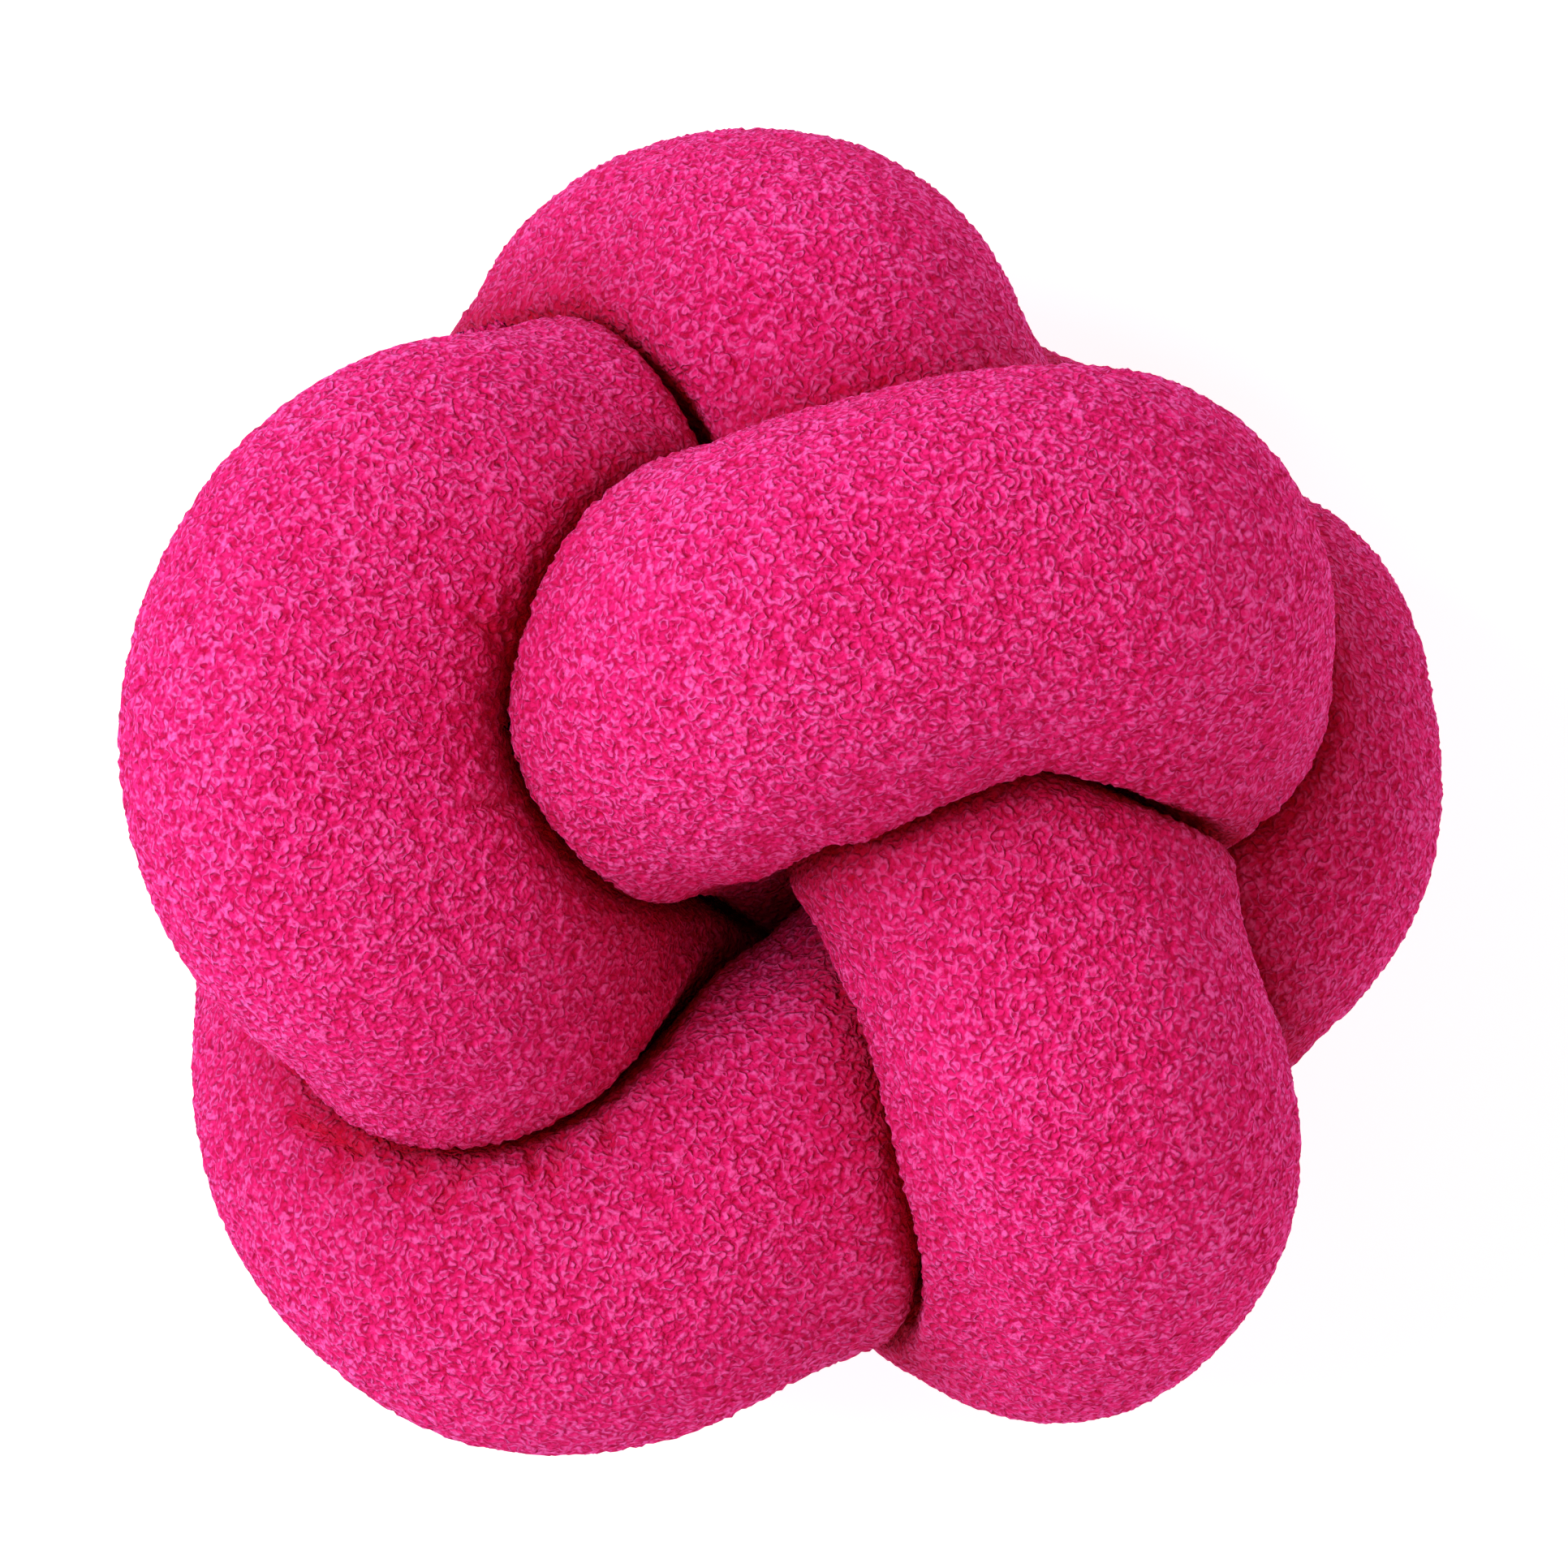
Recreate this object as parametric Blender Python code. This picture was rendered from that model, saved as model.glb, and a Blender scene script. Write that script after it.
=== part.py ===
"""Knot cushion: one fat stuffed tube, knotted on itself into a ball and joined end to end.

The tube is swept along a closed route. Where two of its passes press on each other, both are
flattened towards the plane midway between them and stay a narrow gap apart, so the solid never
touches itself. Where it presses on the floor it is flat at height zero.

The tables are in millimetres. Height is measured from the floor, across and along from the
middle of the photograph. The cushion lies on its back, with the side that the photograph shows
upwards, and its finished extents are centred on the origin.
"""
import bpy
import numpy as np

METRES_PER_MM = 0.001

# Driving sizes, in millimetres.
GAP_BETWEEN_PASSES = 1.2
CONTACT_BLEND = 10.0      # how softly a flattened side runs out into the round tube
INNER_BEND_RADIUS = 6.0   # least radius left on the inside of a tight bend
SETTLED_REACH = 40.0      # along the tube, from here on another stretch counts as another pass
FULL_PASS_REACH = 120.0   # along the tube, from here on it counts in full

# Middle of the finished extents, in the route's own across and along.
MIDDLE_ACROSS = 3.0
MIDDLE_ALONG = -0.4

# How finely the tube is divided.
ROUTE_SAMPLES = 3000
CONTACT_SAMPLES = 420
RINGS = 128
SIDES = 36
BEND_CROWDING = 0.8       # how much closer the rings stand where the tube bends

# The finish of the cloth.
CLOTH_COLOUR = (0.74, 0.022, 0.155, 1.0)
CLOTH_ROUGHNESS = 0.95

# The route, pass by pass in the order in which the tube runs, one row for each station.
ROUTE_COLUMNS = ("across", "along", "height", "radius")
ROUTE = {
    "bridge over the front": (
        (-29, 13, 185, 43),
        (-12, 31, 211, 53),
        (23, 45, 225, 51),
        (58, 54, 225, 51),
        (80, 52, 214, 53),
        (90, 43, 193, 52),
    ),
    "back under the bridge": (
        (89, 33, 154, 50),
        (72, 60, 108, 48),
        (40, 76, 68, 48),
        (10, 90, 48, 49),
    ),
    "top lobe": (
        (-17, 92, 45, 49),
        (-34, 101, 60, 50),
        (-29, 114, 84, 51),
        (-10, 120, 112, 51),
        (11, 112, 138, 51),
        (22, 94, 150, 47),
    ),
    "down under the bridge": (
        (29, 60, 155, 48),
        (38, 22, 158, 48),
    ),
    "front leg": (
        (50, -11, 171, 48),
        (67, -35, 181, 50),
        (75, -65, 177, 50),
        (82, -91, 155, 51),
        (78, -108, 125, 50),
        (71, -115, 98, 50),
        (60, -110, 72, 50),
    ),
    "back of the leg": (
        (35, -95, 46, 49),
        (-12, -77, 45, 49),
        (-47, -53, 70, 48),
    ),
    "left lobe": (
        (-73, -44, 130, 49),
        (-90, -36, 162, 50),
        (-107, -18, 173, 50),
        (-116, 14, 172, 51),
        (-107, 44, 170, 50),
        (-85, 64, 166, 50),
        (-56, 68, 148, 52),
    ),
    "down behind the left lobe": (
        (-92, 60, 92, 49),
        (-114, 37, 62, 49),
        (-112, 1, 46, 50),
        (-106, -36, 45, 49),
    ),
    "bottom lobe": (
        (-104, -79, 75, 50),
        (-90, -106, 102, 50),
        (-65, -120, 117, 51),
        (-36, -116, 123, 51),
        (-3, -98, 124, 50),
        (27, -79, 118, 48),
        (58, -49, 107, 47),
        (86, -36, 102, 49),
    ),
    "right lobe": (
        (110, -25, 99, 50),
        (121, -7, 94, 51),
        (122, 14, 86, 50),
        (115, 33, 66, 50),
    ),
    "back to the bridge": (
        (86, 20, 45, 49),
        (49, 4, 44, 49),
        (10, 5, 61, 50),
        (-22, 20, 103, 51),
    ),
}


def clear_scene():
    """Remove every object that the opened file brings along."""
    for old in list(bpy.data.objects):
        bpy.data.objects.remove(old, do_unlink=True)


def route_stations():
    """All stations of the route as rows of ROUTE_COLUMNS, about the middle of the extents."""
    rows = np.array([row for stations in ROUTE.values() for row in stations], dtype=float)
    return rows - np.array([MIDDLE_ACROSS, MIDDLE_ALONG, 0.0, 0.0])


def following(rows):
    """Each row's follower on the closed route."""
    return np.roll(rows, -1, axis=0)


def spacing(rows):
    """Distance from each row's place to that of its follower."""
    return np.linalg.norm(following(rows)[:, :3] - rows[:, :3], axis=1)


def closed_spline(stations, samples):
    """Smooth closed curve through the stations, a cubic on each stretch with no kink between."""
    count = len(stations)
    span = np.sqrt(spacing(stations))
    slope = (following(stations) - stations) / span[:, None]
    matrix = np.zeros((count, count))
    for index in range(count):
        matrix[index, index - 1] += span[index - 1]
        matrix[index, index] += 2 * (span[index - 1] + span[index])
        matrix[index, (index + 1) % count] += span[index]
    bend = np.linalg.solve(matrix, 6 * (slope - np.roll(slope, 1, axis=0)))

    knots = np.concatenate([[0.0], np.cumsum(span)])
    place = np.linspace(0.0, knots[-1], samples, endpoint=False)
    here = np.searchsorted(knots, place, side="right") - 1
    there = (here + 1) % count
    width = span[here][:, None]
    gone = (place - knots[here])[:, None]
    left = width - gone
    return (
        (bend[here] * left**3 + bend[there] * gone**3) / (6 * width)
        + (stations[here] / width - bend[here] * width / 6) * left
        + (stations[there] / width - bend[there] * width / 6) * gone
    )


def resample(rows, count, weight=1.0):
    """The closed route at equal steps of its length times the weight."""
    run = np.concatenate([[0.0], np.cumsum(spacing(rows) * weight)])
    closed = np.vstack([rows, rows[:1]])
    steps = np.linspace(0.0, run[-1], count, endpoint=False)
    return np.stack([np.interp(steps, run, column) for column in closed.T], axis=1)


def bend_weight(rows):
    """Weight that brings rings closer together where the tube bends."""
    ahead = following(rows)[:, :3] - rows[:, :3]
    behind = np.roll(ahead, 1, axis=0)
    step = np.linalg.norm(ahead, axis=1)
    curvature = np.linalg.norm(ahead / step[:, None] - behind / np.roll(step, 1)[:, None], axis=1) / step
    return 1.0 + BEND_CROWDING * curvature * rows[:, 3]


def arc_lengths(rows):
    """Distance of each row along the route from its start, and the whole length."""
    steps = spacing(rows)
    return np.cumsum(steps) - steps, steps.sum()


def ring_frames(centres):
    """Two unit normals for each ring, carried along the closed route without twisting."""
    tangents = following(centres) - np.roll(centres, 1, axis=0)
    tangents /= np.linalg.norm(tangents, axis=1)[:, None]
    up = np.array([0.0, 0.0, 1.0])
    normal = up - tangents[0] * tangents[0].dot(up)
    normals = [normal / np.linalg.norm(normal)]
    count = len(centres)
    for index in range(count):
        ahead = (index + 1) % count
        step = centres[ahead] - centres[index]
        flipped = normals[-1] - 2 * step.dot(normals[-1]) / step.dot(step) * step
        tangent = tangents[index] - 2 * step.dot(tangents[index]) / step.dot(step) * step
        turn = tangents[ahead] - tangent
        normals.append(flipped - 2 * turn.dot(flipped) / turn.dot(turn) * turn)
    first, last = normals[0], normals.pop()
    normals = np.array(normals)
    twist = np.arctan2(last.dot(np.cross(tangents[0], first)), last.dot(first))
    run, length = arc_lengths(centres)
    angle = (-twist * run / length)[:, None]
    binormals = np.cross(tangents, normals)
    normals = normals * np.cos(angle) + binormals * np.sin(angle)
    return normals, np.cross(tangents, normals)


def soft_minimum(first, second, blend):
    """The smaller of two values, rounded off where they are nearly equal."""
    share = np.clip(0.5 + 0.5 * (second - first) / blend, 0.0, 1.0)
    return second * (1 - share) + first * share - blend * share * (1 - share)


def room_to_neighbours(ring, directions, path, ring_run, path_run, length):
    """How far a ring's points can go along their directions before they meet another pass."""
    apart = np.abs(path_run - ring_run)
    apart = np.minimum(apart, length - apart)
    other = apart > 1.5 * length / len(path)
    reach = path[other, :3] - ring[:3]
    distance = np.linalg.norm(reach, axis=1)
    share = np.clip((apart[other] - SETTLED_REACH) / (FULL_PASS_REACH - SETTLED_REACH), 0.0, 1.0)
    fuller = (ring[3] ** 2 - path[other, 3] ** 2) * share
    clear = (distance**2 + fuller) / 2 - share * GAP_BETWEEN_PASSES / 2 * distance
    facing = directions @ reach.T
    room = clear / np.maximum(facing, 1e-6) - (1 - share) * INNER_BEND_RADIUS
    return np.where(facing > 1e-6, room, np.inf).min(axis=1)


def tube_surface(rings, sides):
    """Points of the pressed tube in millimetres, as an array of rings, sides and coordinates."""
    route = resample(closed_spline(route_stations(), ROUTE_SAMPLES), ROUTE_SAMPLES)
    path = resample(route, CONTACT_SAMPLES)
    path_run, length = arc_lengths(path)
    ring_rows = resample(path, rings, bend_weight(path))
    ring_runs, ring_length = arc_lengths(ring_rows)
    ring_runs *= length / ring_length
    normals, binormals = ring_frames(ring_rows[:, :3])

    turn = np.linspace(0.0, 2 * np.pi, sides, endpoint=False)[:, None]
    points = np.empty((rings, sides, 3))
    for index, ring in enumerate(ring_rows):
        directions = np.cos(turn) * normals[index] + np.sin(turn) * binormals[index]
        room = room_to_neighbours(ring, directions, path, ring_runs[index], path_run, length)
        radius = soft_minimum(ring[3], np.minimum(room, 4 * ring[3]), CONTACT_BLEND)
        to_floor = ring[2] / np.maximum(-directions[:, 2], 1e-6)
        radius = np.minimum(radius, to_floor)
        points[index] = ring[:3] + directions * radius[:, None]
    return points


def closed_tube_mesh(name, points):
    """Quads between neighbouring rings of points, all the way round both ways."""
    rings, sides = points.shape[:2]
    faces = []
    for ring in range(rings):
        after = (ring + 1) % rings
        for side in range(sides):
            beside = (side + 1) % sides
            faces.append((
                ring * sides + side,
                ring * sides + beside,
                after * sides + beside,
                after * sides + side,
            ))
    mesh = bpy.data.meshes.new(name)
    mesh.from_pydata((points.reshape(-1, 3) * METRES_PER_MM).tolist(), [], faces)
    mesh.polygons.foreach_set("use_smooth", [True] * len(faces))
    mesh.update()
    return mesh


def cloth_material():
    """Matt pink pile cloth."""
    material = bpy.data.materials.new("curly_pile_cloth")
    material.use_nodes = True
    shader = material.node_tree.nodes["Principled BSDF"]
    shader.inputs["Base Color"].default_value = CLOTH_COLOUR
    shader.inputs["Roughness"].default_value = CLOTH_ROUGHNESS
    shader.inputs["Metallic"].default_value = 0.0
    material.diffuse_color = CLOTH_COLOUR
    return material


def build_knotted_tube():
    """The whole cushion: one closed, knotted tube."""
    mesh = closed_tube_mesh("knotted_tube", tube_surface(RINGS, SIDES))
    mesh.materials.append(cloth_material())
    tube = bpy.data.objects.new("knotted_tube", mesh)
    bpy.context.scene.collection.objects.link(tube)
    return tube


clear_scene()
build_knotted_tube()
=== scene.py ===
"""Knot cushion in hot pink curly pile cloth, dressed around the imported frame.

The file is laid out as an add-on for Blender and run as a script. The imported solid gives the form
in which the stuffed tube is knotted and lies. Nearly the same route is swept again here, fuller
beside the folds and finely enough to carry the pile and the gathers, and that piece stands for the
solid.

Tables and functions of the sweep are in millimetres, everything else is in metres.
"""

import bpy
import numpy as np
from bpy.props import FloatProperty, FloatVectorProperty, IntProperty, PointerProperty
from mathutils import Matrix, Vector, noise


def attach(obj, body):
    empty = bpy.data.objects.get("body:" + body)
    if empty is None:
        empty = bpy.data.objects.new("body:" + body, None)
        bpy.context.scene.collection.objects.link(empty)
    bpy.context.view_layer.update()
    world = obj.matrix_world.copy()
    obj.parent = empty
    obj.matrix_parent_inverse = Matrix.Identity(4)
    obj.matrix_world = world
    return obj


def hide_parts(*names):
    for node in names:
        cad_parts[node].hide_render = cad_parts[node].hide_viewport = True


bl_info = {
    "name": "Knot Cushion",
    "version": (1, 0, 0),
    "blender": (4, 5, 0),
    "location": "View3D > Sidebar > Knot Cushion",
    "description": "Builds a knotted tube cushion in curly pile cloth, with its stage",
    "category": "Add Mesh",
}

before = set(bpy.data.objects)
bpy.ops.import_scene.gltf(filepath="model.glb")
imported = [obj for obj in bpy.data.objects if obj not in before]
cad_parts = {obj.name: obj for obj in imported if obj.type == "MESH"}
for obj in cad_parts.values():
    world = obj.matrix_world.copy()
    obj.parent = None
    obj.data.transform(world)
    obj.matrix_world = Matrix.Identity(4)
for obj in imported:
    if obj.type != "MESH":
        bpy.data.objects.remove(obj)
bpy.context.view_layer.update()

METRES_PER_MM = 0.001
TINY = 1e-9   # keeps a division from meeting zero

# How passes that press on each other are flattened, in millimetres.
GAP_BETWEEN_PASSES = 0.5
CONTACT_BLEND = 5.0       # how softly a flattened side runs out into the round tube
PRESSED_BULGE = 5.0       # how far the filling is squeezed out next to a flattened side
BULGE_REACH = 22.0        # room beyond the round tube at which that has mostly gone
INNER_BEND_RADIUS = 5.0   # least radius left on the inside of a tight bend
SETTLED_REACH = 40.0      # along the tube, from here on another stretch counts as another pass
FULL_PASS_REACH = 120.0   # along the tube, from here on it counts in full
OWN_STRETCH = 1.5         # path samples on either side that are the ring's own place
OPEN_ROOM = 4.0           # most room that is reckoned with, in radii of the tube

# The shade in the folds: how far from the other pass it falls to a third, in millimetres, and how
# strongly a pass at the same height shades, on which one above adds and one below takes away.
OVERHANG_REACH = 22.0
CREASE_REACH = 1.8
LEVEL_SHADE = 0.9
LEAST_SHADE = 0.5

# Middle of the finished extents, in the route's own across and along.
MIDDLE_ACROSS = 3.0
MIDDLE_ALONG = -0.4

# How finely the route is read.
ROUTE_SAMPLES = 12000
CONTACT_SAMPLES = 420
BEND_CROWDING = 0.8       # how much closer the rings stand where the tube bends

# The route, pass by pass in the order in which the tube runs. Each row is a station: its place
# across, along and above the floor, and the tube's radius there.
ROUTE = {
    "bridge over the front": (
        (-26, 16, 187, 41),
        (-11, 31, 211, 50),
        (23, 46, 225, 50),
        (58, 56, 225, 49),
        (80, 55, 214, 50),
        (90, 46, 193, 49),
    ),
    "back under the bridge": (
        (89, 33, 154, 50),
        (72, 60, 108, 48),
        (40, 76, 68, 48),
        (10, 90, 48, 49),
    ),
    "top lobe": (
        (-17, 92, 45, 49),
        (-34, 101, 60, 50),
        (-29, 114, 84, 51),
        (-10, 120, 112, 51),
        (11, 112, 138, 51),
        (22, 94, 150, 47),
    ),
    "down under the bridge": (
        (29, 60, 155, 48),
        (40, 22, 158, 47),
    ),
    "front leg": (
        (52, -11, 171, 47),
        (66, -36, 179, 48),
        (76, -65, 177, 49),
        (82, -91, 155, 51),
        (78, -108, 125, 50),
        (71, -115, 98, 50),
        (60, -110, 72, 50),
    ),
    "back of the leg": (
        (35, -95, 46, 49),
        (-12, -77, 45, 49),
        (-47, -53, 70, 48),
    ),
    "left lobe": (
        (-73, -44, 130, 49),
        (-87, -34, 163, 51),
        (-104, -17, 172, 53),
        (-113, 14, 171, 54),
        (-105, 42, 169, 53),
        (-84, 62, 165, 52),
        (-58, 66, 147, 51),
    ),
    "down behind the left lobe": (
        (-92, 60, 92, 49),
        (-114, 37, 62, 49),
        (-112, 1, 46, 50),
        (-106, -36, 45, 49),
    ),
    "bottom lobe": (
        (-104, -79, 75, 50),
        (-90, -106, 102, 50),
        (-65, -120, 117, 51),
        (-36, -116, 123, 51),
        (-3, -98, 124, 50),
        (27, -79, 118, 48),
        (58, -49, 107, 47),
        (86, -36, 102, 49),
    ),
    "right lobe": (
        (110, -25, 99, 50),
        (121, -7, 94, 51),
        (122, 14, 86, 50),
        (115, 33, 66, 50),
    ),
    "back to the bridge": (
        (86, 20, 45, 49),
        (49, 4, 44, 49),
        (10, 5, 61, 50),
        (-22, 22, 103, 50),
    ),
}

# The cloth's own relief, in millimetres where it is a length.
NUB_RADIUS = 0.85           # radius at which a nub has fallen away, in pitches
NUB_ROUNDNESS = 1.5
PRESSED_PILE_HEIGHT = 3.0   # below this the cushion's weight presses the pile flat on the floor
GATHER_SHADE_ROOM = 2.0     # added to the deepest gather before the gathers' shade is worked out
GATHER_FACING = 2.0         # how soon a side that turns up shows a gather in full

# Places where the cloth is gathered: a short trough in the side that faces up. Each row is its
# start across and along, its end across and along, its half width and its depth.
GATHERS = (
    (-125, -84, -108, -90, 2.2, 5.5),
    (-108, -91, -115, -99, 2.0, 2.6),
    (-91, -94, -98, -102, 2.0, 2.6),
    (-78, -94, -87, -106, 2.2, 2.4),
    (-63, -90, -62, -97, 1.8, 3.0),
    (-56, -88, -57, -98, 2.0, 3.0),
    (-45, -82, -43, -89, 1.8, 2.6),
    (-68, 38, -74, 41, 2.2, 2.0),
    (-66, -3, -73, -3, 2.2, 2.0),
)

# The map on which the cloth can be baked: strips of the unrolled tube, one above the other.
MAP_STRIPS = 3
MAP_MARGIN = 0.004

# The pile's pattern. Distances are in curl pitches, shares run from 0 to 1.
WANDER_FINENESS = 0.8     # bends in the curls in one pitch
WANDER_DETAIL = 1.0
WANDER_REACH = 0.9        # how far the bends shift them
DOME_RADIUS = 0.8         # radius at which a curl's rounded top has fallen away
THREAD_PITCH = 1.7        # distance between the threads that wind between the tops
THREAD_BANDS = 2.6        # threads that lie between the noise's low and high
DOME_SHARE = 0.5          # share of the tops in the relief, the rest being threads
# The relief also sets the colour's lightness: a painted highlight on the tops and painted shade in the
# gaps.
CURL_SHARE = 0.8          # share of the relief in the lightness, the rest being nubs
PATCH_FINENESS = 22.0     # lighter and darker patches in one metre
PATCH_DETAIL = 2.0
PATCH_SHARE = 0.2         # how much they change the lightness

# The cloth's finish.
TOP_GLOSS = 0.12          # how much less rough the curls' tops are
SPECULAR = 0.06
SHEEN_WEIGHT = 0.08
SHEEN_ROUGHNESS = 0.5
SHEEN_TINT = (1.0, 0.12, 0.35, 1.0)

# The stage: a round floor with a low wall about it, in metres.
STAGE_RADIUS = 8.0
STAGE_SIDES = 96
BACKDROP_HEIGHT = 1.6
STAGE_ROUGHNESS = 0.9
STAGE_GLOW = 0.85
SKY_COLOUR = (1.0, 0.43, 0.34, 1.0)
SKY_STRENGTH = 0.53

# The lamps. Each row is a name, the lamp's place, its width, its power and its colour.
LAMPS = (
    ("key_light", (-1.45, 0.35, 1.85), 1.2, 37.0, (1.0, 1.0, 1.0)),
    ("fill_light", (0.2, -1.4, 1.6), 1.4, 4.0, (1.0, 0.60, 0.56)),
)

# The camera looks straight down at what the lamps aim at, and shows the photograph's own field.
AIM = (0.0, 0.0, 0.14)
CAMERA_DISTANCE = 2.5
PHOTO_PIXELS = 1932
PHOTO_MM_PER_PIXEL = 0.2066
PHOTO_MIDDLE = (960.0, 973.0)   # the pixel of the photograph over the route's own zero


def route_stations():
    """The stations of all passes in one table, about the middle of the finished extents."""
    rows = np.array([row for stations in ROUTE.values() for row in stations], dtype=float)
    return rows - np.array([MIDDLE_ACROSS, MIDDLE_ALONG, 0.0, 0.0])


def following(rows):
    """Each row's follower on the closed route."""
    return np.roll(rows, -1, axis=0)


def spacing(rows):
    """Distance from each row's place to that of its follower."""
    return np.linalg.norm(following(rows)[:, :3] - rows[:, :3], axis=1)


def closed_spline(stations, samples):
    """Smooth closed curve through the stations, a cubic on each stretch with no kink between."""
    count = len(stations)
    span = np.sqrt(spacing(stations))
    slope = (following(stations) - stations) / span[:, None]
    matrix = np.zeros((count, count))
    for index in range(count):
        matrix[index, index - 1] += span[index - 1]
        matrix[index, index] += 2 * (span[index - 1] + span[index])
        matrix[index, (index + 1) % count] += span[index]
    bend = np.linalg.solve(matrix, 6 * (slope - np.roll(slope, 1, axis=0)))

    knots = np.concatenate([[0.0], np.cumsum(span)])
    place = np.linspace(0.0, knots[-1], samples, endpoint=False)
    here = np.searchsorted(knots, place, side="right") - 1
    there = (here + 1) % count
    width = span[here][:, None]
    gone = (place - knots[here])[:, None]
    left = width - gone
    return (
        (bend[here] * left**3 + bend[there] * gone**3) / (6 * width)
        + (stations[here] / width - bend[here] * width / 6) * left
        + (stations[there] / width - bend[there] * width / 6) * gone
    )


def resample(rows, count, weight=1.0):
    """The closed route at equal steps of its length times the weight."""
    run = np.concatenate([[0.0], np.cumsum(spacing(rows) * weight)])
    closed = np.vstack([rows, rows[:1]])
    steps = np.linspace(0.0, run[-1], count, endpoint=False)
    return np.stack([np.interp(steps, run, column) for column in closed.T], axis=1)


def bend_weight(rows):
    """Weight that brings rings closer together where the tube bends."""
    ahead = following(rows)[:, :3] - rows[:, :3]
    behind = np.roll(ahead, 1, axis=0)
    step = np.linalg.norm(ahead, axis=1)
    curvature = np.linalg.norm(ahead / step[:, None] - behind / np.roll(step, 1)[:, None], axis=1) / step
    return 1.0 + BEND_CROWDING * curvature * rows[:, 3]


def arc_lengths(rows):
    """Distance of each row along the route from its start, and the whole length."""
    steps = spacing(rows)
    return np.cumsum(steps) - steps, steps.sum()


def ring_frames(centres):
    """Two unit normals for each ring, carried along the closed route without twisting."""
    tangents = following(centres) - np.roll(centres, 1, axis=0)
    tangents /= np.linalg.norm(tangents, axis=1)[:, None]
    up = np.array([0.0, 0.0, 1.0])
    normal = up - tangents[0] * tangents[0].dot(up)
    normals = [normal / np.linalg.norm(normal)]
    count = len(centres)
    for index in range(count):
        ahead = (index + 1) % count
        step = centres[ahead] - centres[index]
        flipped = normals[-1] - 2 * step.dot(normals[-1]) / step.dot(step) * step
        tangent = tangents[index] - 2 * step.dot(tangents[index]) / step.dot(step) * step
        turn = tangents[ahead] - tangent
        normals.append(flipped - 2 * turn.dot(flipped) / turn.dot(turn) * turn)
    first, last = normals[0], normals.pop()
    normals = np.array(normals)
    twist = np.arctan2(last.dot(np.cross(tangents[0], first)), last.dot(first))
    run, length = arc_lengths(centres)
    angle = (-twist * run / length)[:, None]
    binormals = np.cross(tangents, normals)
    normals = normals * np.cos(angle) + binormals * np.sin(angle)
    return normals, np.cross(tangents, normals)


def soft_minimum(first, second, blend):
    """The smaller of two values, rounded off where they are nearly equal."""
    share = np.clip(0.5 + 0.5 * (second - first) / blend, 0.0, 1.0)
    return second * (1 - share) + first * share - blend * share * (1 - share)


def room_to_neighbours(ring, directions, path, ring_run, path_run, length):
    """How far a ring's points can go along their directions before they meet another pass."""
    apart = np.abs(path_run - ring_run)
    apart = np.minimum(apart, length - apart)
    other = apart > OWN_STRETCH * length / len(path)
    reach = path[other, :3] - ring[:3]
    distance = np.linalg.norm(reach, axis=1)
    share = np.clip((apart[other] - SETTLED_REACH) / (FULL_PASS_REACH - SETTLED_REACH), 0.0, 1.0)
    fuller = (ring[3] ** 2 - path[other, 3] ** 2) * share
    clear = (distance**2 + fuller) / 2 - share * GAP_BETWEEN_PASSES / 2 * distance
    facing = directions @ reach.T
    room = clear / np.maximum(facing, TINY) - (1 - share) * INNER_BEND_RADIUS
    return np.where(facing > TINY, room, np.inf).min(axis=1)


def fold_shades(points, ring_run, path, path_run, length):
    """Shade that other passes throw on each point of a ring, and how deep it lies where two passes meet.

    Both run from 0 in the open to 1 where two passes touch.
    """
    apart = np.abs(path_run - ring_run)
    far = np.minimum(apart, length - apart) > FULL_PASS_REACH
    offset = path[None, far, :3] - points[:, None, :]
    distance = np.sqrt(np.einsum("ijk,ijk->ij", offset, offset))
    clear = np.maximum(distance - path[far, 3], 0.0)
    strength = np.clip(LEVEL_SHADE + offset[:, :, 2] / distance, LEAST_SHADE, 1.0)
    overhang_shade = (strength * np.exp(-clear / OVERHANG_REACH)).max(axis=1)
    return overhang_shade, np.exp(-clear.min(axis=1) / CREASE_REACH)


def tube_surface(rings, sides):
    """Points of the pressed tube, their shade under other passes and in creases, by rings and sides."""
    route = closed_spline(route_stations(), ROUTE_SAMPLES)
    path = resample(route, CONTACT_SAMPLES)
    path_run, length = arc_lengths(path)
    ring_rows = resample(route, rings, bend_weight(route))
    ring_runs, ring_length = arc_lengths(ring_rows)
    ring_runs *= length / ring_length
    normals, binormals = ring_frames(ring_rows[:, :3])

    turn = np.linspace(0.0, 2 * np.pi, sides, endpoint=False)[:, None]
    points = np.empty((rings, sides, 3))
    overhang_shade = np.empty((rings, sides))
    crease_shade = np.empty((rings, sides))
    for index, ring in enumerate(ring_rows):
        directions = np.cos(turn) * normals[index] + np.sin(turn) * binormals[index]
        room = room_to_neighbours(ring, directions, path, ring_runs[index], path_run, length)
        slack = np.maximum(room - ring[3], 0.0)
        fuller = ring[3] + PRESSED_BULGE * np.exp(-(slack / BULGE_REACH) ** 2)
        radius = soft_minimum(fuller, np.minimum(room, OPEN_ROOM * ring[3]), CONTACT_BLEND)
        to_floor = ring[2] / np.maximum(-directions[:, 2], TINY)
        radius = np.minimum(radius, to_floor)
        points[index] = ring[:3] + directions * radius[:, None]
        overhang_shade[index], crease_shade[index] = fold_shades(
            points[index], ring_runs[index], path, path_run, length)
    return points, overhang_shade, crease_shade


def surface_normals(points):
    """Unit outward normals at the points of a tube, from their neighbours both ways."""
    along = np.roll(points, -1, axis=0) - np.roll(points, 1, axis=0)
    around = np.roll(points, -1, axis=1) - np.roll(points, 1, axis=1)
    normals = np.cross(around, along)
    return normals / np.maximum(np.linalg.norm(normals, axis=2), TINY)[:, :, None]


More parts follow.
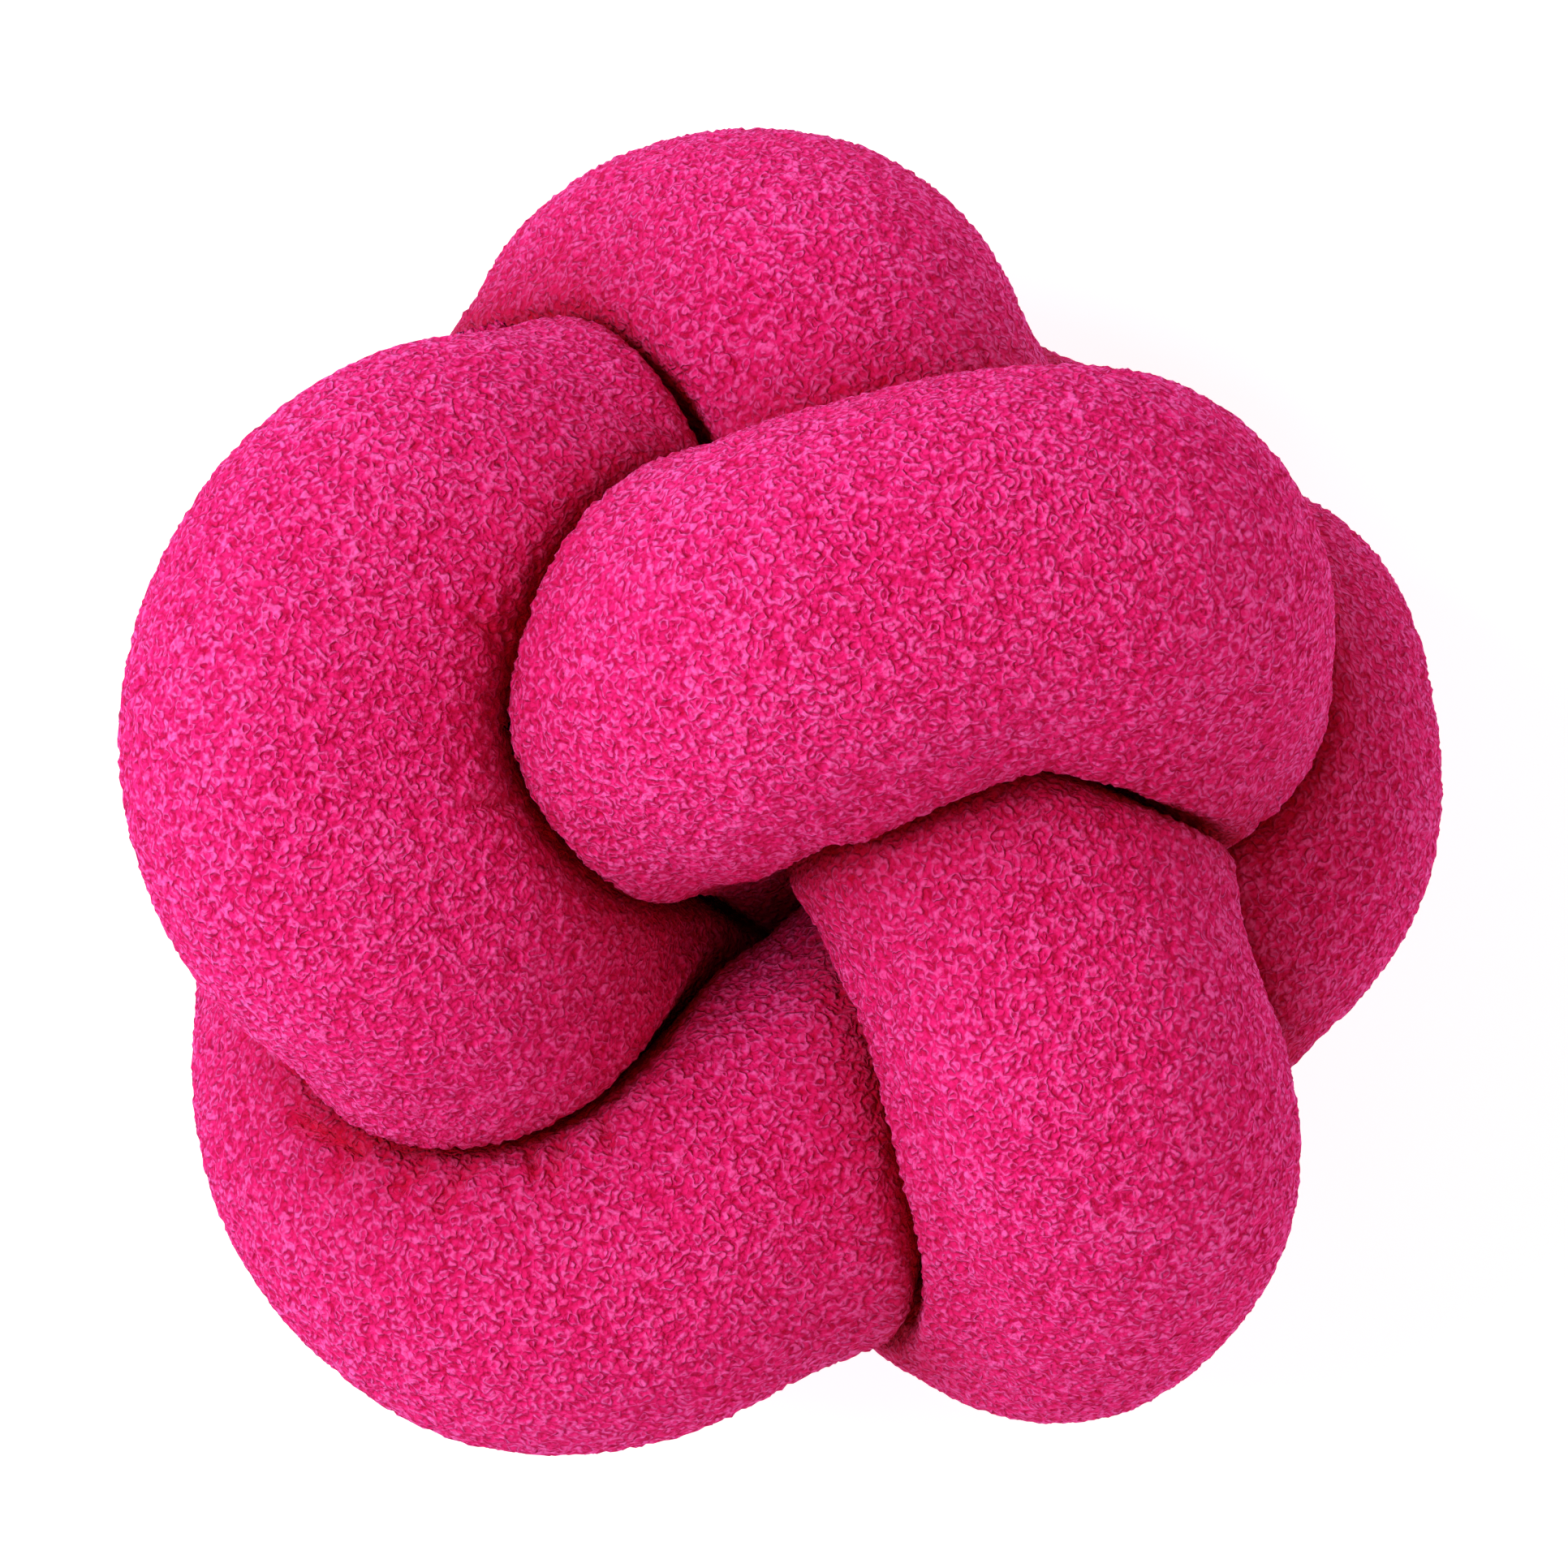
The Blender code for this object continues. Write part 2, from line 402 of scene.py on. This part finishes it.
def gather_depth(points, normals):
    """How far the gathers draw each point in, in millimetres."""
    middle = np.array([MIDDLE_ACROSS, MIDDLE_ALONG])
    flat = points[:, :, :2] + middle
    facing = np.clip(normals[:, :, 2] * GATHER_FACING, 0.0, 1.0)
    depth = np.zeros(points.shape[:2])
    for start_across, start_along, end_across, end_along, half_width, deep in GATHERS:
        start = np.array([start_across, start_along], dtype=float)
        run = np.array([end_across, end_along]) - start
        share = np.clip((flat - start) @ run / run.dot(run), 0.0, 1.0)
        away = np.linalg.norm(flat - start - share[:, :, None] * run, axis=2)
        depth = np.maximum(depth, deep * np.exp(-(away / half_width) ** 2) * facing)
    return depth


def nub_heights(points, pitch):
    """How high each point stands in the rounded nubs of the pile, from 0 between them to 1."""
    scaled = points.reshape(-1, 3) / pitch
    nearest = [noise.voronoi(Vector(place))[0][0] for place in scaled]
    heights = 1.0 - np.clip(np.array(nearest) / NUB_RADIUS, 0.0, 1.0) ** NUB_ROUNDNESS
    return heights.reshape(points.shape[:2])


def filling_lumps(points, pitch):
    """How uneven the filling is at each point, from 0 to 1."""
    scaled = points.reshape(-1, 3) / pitch
    lumps = [noise.noise(Vector(place)) for place in scaled]
    return np.clip(0.5 + 0.5 * np.array(lumps), 0.0, 1.0).reshape(points.shape[:2])


def cloth_surface(settings):
    """Points of the clothed tube by rings and sides, and the values that its material reads."""
    points, overhang_shade, crease_shade = tube_surface(settings.ring_count, settings.side_count)
    normals = surface_normals(points)
    nubs = nub_heights(points, settings.nub_pitch / METRES_PER_MM)
    lumps = filling_lumps(points, settings.lump_pitch / METRES_PER_MM)
    depth = gather_depth(points, normals)
    # Painted shade: the troughs of the gathers are darkened like the creases.
    crease_shade = np.maximum(crease_shade, depth / (depth.max() + GATHER_SHADE_ROOM))
    depth += (1.0 - nubs) * settings.nub_height / METRES_PER_MM
    depth += (1.0 - lumps) * settings.lump_height / METRES_PER_MM
    depth *= np.clip(points[:, :, 2] / PRESSED_PILE_HEIGHT, 0.0, 1.0)
    points -= normals * depth[:, :, None]
    points[:, :, 2] = np.maximum(points[:, :, 2], 0.0)
    return points, {"nub_height": nubs, "overhang_shade": overhang_shade, "crease_shade": crease_shade}


def closed_tube_mesh(name, points):
    """Quads between neighbouring rings of points, all the way round both ways."""
    rings, sides = points.shape[:2]
    ring, side = np.divmod(np.arange(rings * sides), sides)
    after = (ring + 1) % rings
    beside = (side + 1) % sides
    corners = np.stack([
        ring * sides + side,
        ring * sides + beside,
        after * sides + beside,
        after * sides + side,
    ], axis=1)
    mesh = bpy.data.meshes.new(name)
    mesh.vertices.add(rings * sides)
    mesh.vertices.foreach_set("co", (points * METRES_PER_MM).ravel())
    mesh.loops.add(corners.size)
    mesh.loops.foreach_set("vertex_index", corners.ravel().astype(np.int32))
    mesh.polygons.add(len(corners))
    first_corners = np.arange(0, corners.size, corners.shape[1], dtype=np.int32)
    mesh.polygons.foreach_set("loop_start", first_corners)
    mesh.polygons.foreach_set("use_smooth", np.ones(len(corners), dtype=bool))
    mesh.update(calc_edges=True)
    mesh.validate()
    return mesh


def unroll_in_strips(mesh, rings, sides):
    """A UV map in which the tube lies unrolled, cut into strips that lie one above the other."""
    ring, side = np.divmod(np.arange(rings * sides), sides)
    rings_per_strip = rings // MAP_STRIPS
    strip = np.minimum(ring // rings_per_strip, MAP_STRIPS - 1)
    start = strip * rings_per_strip
    end = np.where(strip == MAP_STRIPS - 1, rings, start + rings_per_strip)
    wide = 1 - 2 * MAP_MARGIN
    tall = 1 - 2 * MAP_MARGIN * MAP_STRIPS
    left = MAP_MARGIN + wide * (ring - start) / (end - start)
    right = MAP_MARGIN + wide * (ring + 1 - start) / (end - start)
    low = (strip + MAP_MARGIN * MAP_STRIPS + tall * side / sides) / MAP_STRIPS
    high = (strip + MAP_MARGIN * MAP_STRIPS + tall * (side + 1) / sides) / MAP_STRIPS
    corners = np.stack([left, low, left, high, right, high, right, low], axis=1)
    layer = mesh.uv_layers.new(name="OFBake")
    layer.data.foreach_set("uv", corners.ravel())


def node(tree, kind, **settings):
    """A new shader node with its named settings."""
    made = tree.nodes.new(kind)
    for name, value in settings.items():
        setattr(made, name, value)
    return made


def arithmetic(tree, operation, *values, clamp=False):
    """A math node fed with sockets or numbers, and its result."""
    made = node(tree, "ShaderNodeMath", operation=operation, use_clamp=clamp)
    for socket, value in zip(made.inputs, values):
        if isinstance(value, bpy.types.NodeSocket):
            tree.links.new(value, socket)
        else:
            socket.default_value = value
    return made.outputs[0]


def colour_mix(tree, share, first, second):
    """Blend of two colours, each a socket or a plain colour."""
    made = node(tree, "ShaderNodeMix", data_type="RGBA")
    tree.links.new(share, made.inputs["Factor"])
    for socket, value in ((made.inputs[6], first), (made.inputs[7], second)):
        if isinstance(value, bpy.types.NodeSocket):
            tree.links.new(value, socket)
        else:
            socket.default_value = value
    return made.outputs[2]


def noise_texture(tree, place, scale, detail):
    """Value and colour of a noise texture at the given place."""
    made = node(tree, "ShaderNodeTexNoise")
    made.inputs["Scale"].default_value = scale
    made.inputs["Detail"].default_value = detail
    tree.links.new(place, made.inputs["Vector"])
    return made.outputs["Fac"], made.outputs["Color"]


def vector_sum(tree, first, second, scale):
    """The first vector plus the second one times the scale."""
    scaled = node(tree, "ShaderNodeVectorMath", operation="SCALE")
    tree.links.new(second, scaled.inputs[0])
    scaled.inputs["Scale"].default_value = scale
    added = node(tree, "ShaderNodeVectorMath", operation="ADD")
    tree.links.new(first, added.inputs[0])
    tree.links.new(scaled.outputs[0], added.inputs[1])
    return added.outputs[0]


def weighted_sum(tree, share, first, second):
    """The first value times the share, plus the second one times the rest."""
    return arithmetic(tree, "ADD", arithmetic(tree, "MULTIPLY", first, share),
                      arithmetic(tree, "MULTIPLY", second, 1.0 - share))


def attribute(tree, name):
    """The value that the mesh carries under the name."""
    return node(tree, "ShaderNodeAttribute", attribute_name=name).outputs["Fac"]


def curl_domes(tree, place, pitch):
    """Rounded tops of the curls, 1 in their middles and 0 in the gaps between them."""
    cells = node(tree, "ShaderNodeTexVoronoi", feature="F1")
    cells.inputs["Scale"].default_value = 1.0 / pitch
    tree.links.new(place, cells.inputs["Vector"])
    far = arithmetic(tree, "DIVIDE", cells.outputs["Distance"], DOME_RADIUS)
    return arithmetic(tree, "SUBTRACT", 1.0, arithmetic(tree, "MULTIPLY", far, far), clamp=True)


def curl_threads(tree, place, pitch):
    """Threads that wind and close into rosettes: 1 along their middles, 0 in the gaps between."""
    value, _ = noise_texture(tree, place, 1.0 / pitch, 0.0)
    turns = arithmetic(tree, "MULTIPLY", value, THREAD_BANDS * 2.0 * np.pi)
    wave = arithmetic(tree, "COSINE", turns)
    return arithmetic(tree, "ADD", arithmetic(tree, "MULTIPLY", wave, 0.5), 0.5)


def curl_relief(tree, place, pitch):
    """Height of the curled loops at a place, from 0 to 1."""
    _, wander = noise_texture(tree, place, WANDER_FINENESS / pitch, WANDER_DETAIL)
    curled = vector_sum(tree, place, wander, WANDER_REACH * pitch)
    domes = curl_domes(tree, curled, pitch)
    threads = curl_threads(tree, curled, THREAD_PITCH * pitch)
    return weighted_sum(tree, DOME_SHARE, domes, threads)


def pile_colour(tree, place, rise, settings):
    """Colour of the pile: by its height, a painted highlight towards the curls' tops and painted shade
    in the gaps, random lighter and darker patches, and painted shade in the folds and creases.
    """
    patch, _ = noise_texture(tree, place, PATCH_FINENESS, PATCH_DETAIL)
    uneven = arithmetic(tree, "MULTIPLY", arithmetic(tree, "SUBTRACT", patch, 0.5), PATCH_SHARE)
    lightness = arithmetic(tree, "ADD", rise, uneven, clamp=True)
    # Painted highlight and shade: the higher the pile stands, the lighter its colour, from the shaded
    # gaps to the lit curl tops.
    low = arithmetic(tree, "MULTIPLY", lightness, 2.0, clamp=True)
    high = arithmetic(tree, "SUBTRACT", arithmetic(tree, "MULTIPLY", lightness, 2.0), 1.0, clamp=True)
    ground = colour_mix(tree, low, tuple(settings.gap_shade_colour), tuple(settings.pile_colour))
    curls = colour_mix(tree, high, ground, tuple(settings.curl_top_highlight_colour))
    # Painted shade: the pile is coloured darker and redder where other passes overhang it or stand close
    # beside it.
    shaded = arithmetic(tree, "MULTIPLY", attribute(tree, "overhang_shade"), settings.fold_shade_strength)
    beside = colour_mix(tree, shaded, curls, tuple(settings.fold_shade_colour))
    # Painted shade: a thin dark line deep in each crease where two passes touch.
    return colour_mix(tree, attribute(tree, "crease_shade"), beside, tuple(settings.crease_shade_colour))


def curly_pile_material(settings):
    """Hot pink pile of small curled loops, with a painted highlight on their tops and painted deep
    crimson shade between them.
    """
    material = bpy.data.materials.new("curly_pile_cloth")
    material.use_nodes = True
    tree = material.node_tree
    shader = tree.nodes["Principled BSDF"]
    place = node(tree, "ShaderNodeTexCoord").outputs["Object"]
    curl = curl_relief(tree, place, settings.curl_pitch)
    rise = weighted_sum(tree, CURL_SHARE, curl, attribute(tree, "nub_height"))
    tree.links.new(pile_colour(tree, place, rise, settings), shader.inputs["Base Color"])

    bump = node(tree, "ShaderNodeBump")
    bump.inputs["Strength"].default_value = 1.0
    bump.inputs["Distance"].default_value = settings.curl_height
    tree.links.new(curl, bump.inputs["Height"])
    tree.links.new(bump.outputs["Normal"], shader.inputs["Normal"])

    roughness = arithmetic(tree, "SUBTRACT", 1.0, arithmetic(tree, "MULTIPLY", rise, TOP_GLOSS))
    tree.links.new(roughness, shader.inputs["Roughness"])
    shader.inputs["Specular IOR Level"].default_value = SPECULAR
    shader.inputs["Sheen Weight"].default_value = SHEEN_WEIGHT
    shader.inputs["Sheen Roughness"].default_value = SHEEN_ROUGHNESS
    shader.inputs["Sheen Tint"].default_value = SHEEN_TINT
    return material


def stage_material(name, colour):
    """Plain matt surface of the stage, with a faint white glow that lifts its shadows."""
    material = bpy.data.materials.new(name)
    material.use_nodes = True
    shader = material.node_tree.nodes["Principled BSDF"]
    shader.inputs["Base Color"].default_value = colour
    shader.inputs["Roughness"].default_value = STAGE_ROUGHNESS
    shader.inputs["Emission Color"].default_value = (1.0, 1.0, 1.0, 1.0)
    shader.inputs["Emission Strength"].default_value = STAGE_GLOW
    return material


class KnotCushionSettings(bpy.types.PropertyGroup):
    """Sizes and colours of the cushion that a user would change."""
    ring_count: IntProperty(
        name="Rings", description="Rings of points along the tube", default=1900, min=64)
    side_count: IntProperty(
        name="Sides", description="Points around the tube", default=236, min=16)
    nub_pitch: FloatProperty(
        name="Nub pitch", description="Distance between the rounded nubs of the pile",
        default=0.0030, min=0.001, unit="LENGTH")
    nub_height: FloatProperty(
        name="Nub height", description="Depth of the dips between the nubs",
        default=0.0016, min=0.0, unit="LENGTH")
    lump_pitch: FloatProperty(
        name="Filling lumps", description="Distance between soft lumps of the filling",
        default=0.034, min=0.005, unit="LENGTH")
    lump_height: FloatProperty(
        name="Lump height", description="How far the filling's lumps differ",
        default=0.0012, min=0.0, unit="LENGTH")
    curl_pitch: FloatProperty(
        name="Curl pitch", description="Distance between the curled loops of the pile",
        default=0.0016, min=0.0005, unit="LENGTH")
    curl_height: FloatProperty(
        name="Curl height", description="Relief of the curled loops",
        default=0.0012, min=0.0, unit="LENGTH")
    # Painted highlight: the curls' tops are coloured lighter, as if lit.
    curl_top_highlight_colour: FloatVectorProperty(
        name="Curl tops", description="Colour of the curls' tops",
        default=(1.0, 0.165, 0.66, 1.0), size=4, min=0.0, max=1.0, subtype="COLOR")
    pile_colour: FloatVectorProperty(
        name="Pile", description="Colour of the pile's middle",
        default=(0.86, 0.019, 0.25, 1.0), size=4, min=0.0, max=1.0, subtype="COLOR")
    # Painted shade: the gaps between the curls are coloured deep crimson, as if in shadow.
    gap_shade_colour: FloatVectorProperty(
        name="Gaps", description="Colour deep between the curls",
        default=(0.50, 0.0010, 0.050, 1.0), size=4, min=0.0, max=1.0, subtype="COLOR")
    # Painted shade beside the folds, under and next to other passes.
    fold_shade_colour: FloatVectorProperty(
        name="Folds", description="Colour of the pile beside a fold between two passes",
        default=(0.33, 0.0004, 0.004, 1.0), size=4, min=0.0, max=1.0, subtype="COLOR")
    fold_shade_strength: FloatProperty(
        name="Fold shade", description="How strongly the pile beside a fold is shaded",
        default=1.0, min=0.0, max=1.0)
    # Painted shade deep in the creases and gathers.
    crease_shade_colour: FloatVectorProperty(
        name="Creases", description="Colour of the thin dark line deep in a fold",
        default=(0.60, 0.0020, 0.020, 1.0), size=4, min=0.0, max=1.0, subtype="COLOR")
    floor_colour: FloatVectorProperty(
        name="Floor", description="Colour of the plain floor",
        default=(0.45, 0.56, 0.60, 1.0), size=4, min=0.0, max=1.0, subtype="COLOR")


class KNOTCUSHION_OT_tube(bpy.types.Operator):
    """Sweep the stuffed tube along its knot and give it its pile, gathers and finish"""
    bl_idname = "knot_cushion.tube"
    bl_label = "Knotted Tube"

    def execute(self, context):
        settings = context.scene.knot_cushion
        points, readings = cloth_surface(settings)
        mesh = closed_tube_mesh("pile_cloth_tube", points)
        unroll_in_strips(mesh, settings.ring_count, settings.side_count)
        for name, values in readings.items():
            layer = mesh.attributes.new(name, "FLOAT", "POINT")
            layer.data.foreach_set("value", values.ravel().astype(np.float32))
        mesh.materials.append(curly_pile_material(settings))
        tube = bpy.data.objects.new("pile_cloth_tube", mesh)
        context.scene.collection.objects.link(tube)
        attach(tube, "root")
        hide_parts("knotted_tube")
        return {"FINISHED"}


def add_lamps(scene):
    """Square studio lamps that look at the cushion."""
    for name, place, width, power, colour in LAMPS:
        lamp = bpy.data.lights.new(name, "AREA")
        lamp.shape = "SQUARE"
        lamp.size = width
        lamp.energy = power
        lamp.color = colour
        light = bpy.data.objects.new(name, lamp)
        light.location = place
        light.rotation_euler = (Vector(AIM) - Vector(place)).to_track_quat("-Z", "Y").to_euler()
        scene.collection.objects.link(light)


def add_sky(scene):
    """An even, faintly tinted light from all round."""
    world = bpy.data.worlds.new("studio")
    world.use_nodes = True
    background = world.node_tree.nodes["Background"]
    background.inputs["Color"].default_value = SKY_COLOUR
    background.inputs["Strength"].default_value = SKY_STRENGTH
    scene.world = world


def add_camera(scene):
    """The camera over the cushion, framed as the photograph is."""
    frame_width = PHOTO_PIXELS * PHOTO_MM_PER_PIXEL * METRES_PER_MM
    camera = bpy.data.cameras.new("camera")
    camera.lens = camera.sensor_width * CAMERA_DISTANCE / frame_width
    eye = bpy.data.objects.new("camera", camera)
    half = PHOTO_PIXELS / 2
    across = (half - PHOTO_MIDDLE[0]) * PHOTO_MM_PER_PIXEL - MIDDLE_ACROSS
    along = (PHOTO_MIDDLE[1] - half) * PHOTO_MM_PER_PIXEL - MIDDLE_ALONG
    eye.location = (across * METRES_PER_MM, along * METRES_PER_MM, AIM[2] + CAMERA_DISTANCE)
    scene.collection.objects.link(eye)
    scene.camera = eye


class KNOTCUSHION_OT_stage(bpy.types.Operator):
    """Lay the floor, set up the soft lights and look down at the cushion's face"""
    bl_idname = "knot_cushion.stage"
    bl_label = "Stage"

    def execute(self, context):
        scene = context.scene
        for chosen in list(context.selected_objects):
            chosen.select_set(False)
        pale = stage_material("pale_floor", tuple(scene.knot_cushion.floor_colour))
        bpy.ops.mesh.primitive_circle_add(
            vertices=STAGE_SIDES, radius=STAGE_RADIUS, fill_type="NGON")
        floor = context.active_object
        floor.name = "floor"
        bpy.ops.mesh.primitive_cylinder_add(
            vertices=STAGE_SIDES, radius=STAGE_RADIUS, depth=BACKDROP_HEIGHT,
            end_fill_type="NOTHING", location=(0.0, 0.0, BACKDROP_HEIGHT / 2))
        backdrop = context.active_object
        backdrop.name = "backdrop"
        for surface in (floor, backdrop):
            surface.data.materials.append(pale)

        add_lamps(scene)
        add_sky(scene)
        add_camera(scene)
        scene.view_settings.view_transform = "Standard"
        return {"FINISHED"}


class KNOTCUSHION_PT_panel(bpy.types.Panel):
    """Sizes, colours and steps of the knot cushion"""
    bl_label = "Knot Cushion"
    bl_idname = "KNOTCUSHION_PT_panel"
    bl_space_type = "VIEW_3D"
    bl_region_type = "UI"
    bl_category = "Knot Cushion"

    def draw(self, context):
        settings = context.scene.knot_cushion
        for name in KnotCushionSettings.__annotations__:
            self.layout.prop(settings, name)
        for step in STEPS:
            self.layout.operator(step.bl_idname)


STEPS = (KNOTCUSHION_OT_tube, KNOTCUSHION_OT_stage)
CLASSES = (KnotCushionSettings, *STEPS, KNOTCUSHION_PT_panel)


def register():
    """Make the settings, the steps and the panel known to Blender."""
    for part in CLASSES:
        bpy.utils.register_class(part)
    bpy.types.Scene.knot_cushion = PointerProperty(type=KnotCushionSettings)


def unregister():
    """Take them away again, in the reverse order."""
    del bpy.types.Scene.knot_cushion
    for part in reversed(CLASSES):
        bpy.utils.unregister_class(part)


def main():
    """Build the piece and its stage."""
    register()
    bpy.ops.knot_cushion.tube()
    bpy.ops.knot_cushion.stage()


if __name__ == "__main__":
    main()
